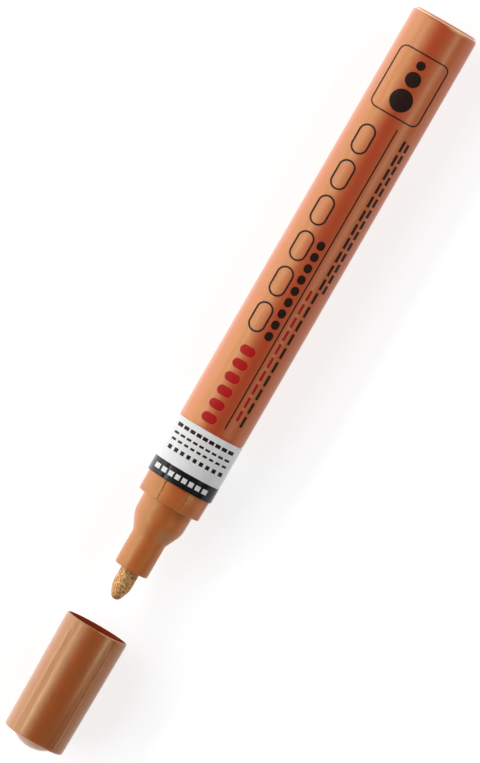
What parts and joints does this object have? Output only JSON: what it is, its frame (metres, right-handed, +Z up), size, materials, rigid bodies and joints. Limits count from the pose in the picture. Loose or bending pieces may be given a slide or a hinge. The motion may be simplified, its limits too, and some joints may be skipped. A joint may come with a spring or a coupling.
{
  "type": "paint marker",
  "caption": "Round paint marker with a lacquered aluminium barrel, a moulded front section, a sprung bullet nib with a valve behind it, and a ribbed pull-off cap.",
  "frame": {"origin": "on the surface that the marker lies on, under the middle of the whole length with the cap off", "axes": "+X along the marker's axis to its rear end, the nib and the cap towards -X, +Z up"},
  "size_m": [0.1744, 0.0152, 0.0152],
  "materials": {
    "lacquered_aluminium": "metallic orange lacquer, satin",
    "label_film": "glossy white film with a black band",
    "section_plastic": "moulded copper-brown plastic, glossy",
    "cap_plastic": "moulded copper-brown plastic, glossy",
    "nib_fibre": "pressed fibre soaked with gold paint",
    "seal_rubber": "matte black",
    "valve_plastic": "natural white",
    "spring_steel": "bright drawn wire",
    "ball_steel": "polished steel",
    "inner_cap_plastic": "natural soft plastic"
  },
  "bodies": {
    "marker": {"barrel": "lacquered_aluminium", "label_sleeve": "label_film", "front_section": "section_plastic", "section_seal": "seal_rubber", "valve_seat": "valve_plastic", "valve_cage": "valve_plastic", "valve_spring": "spring_steel"},
    "nib": {"nib": "nib_fibre"},
    "valve": {"valve_stem": "valve_plastic", "stem_washer": "seal_rubber"},
    "ball": {"mixing_ball": "ball_steel"},
    "cap": {"cap_shell": "cap_plastic", "inner_cap": "inner_cap_plastic"}
  },
  "joints": [
    {"name": "nib_press", "type": "slide", "parent": "marker", "child": "nib", "axis": [1, 0, 0], "range_m": [0, 0.002], "stiffness_N_per_m": 500, "springref_m": -0.003},
    {"name": "valve_lift", "type": "slide", "parent": "marker", "child": "valve", "axis": [1, 0, 0], "range_m": [0, 0.002], "deforming": ["valve_spring"]},
    {"name": "ball_roll", "type": "slide", "parent": "marker", "child": "ball", "axis": [1, 0, 0], "range_m": [-0.047, 0.0405]},
    {"name": "cap_slide", "type": "slide", "parent": "marker", "child": "cap", "axis": [1, 0, 0], "range_m": [0, 0.0297]}
  ],
  "couplings": [
    {"joint": "valve_lift", "follows": "nib_press", "ratio": 1}
  ]
}
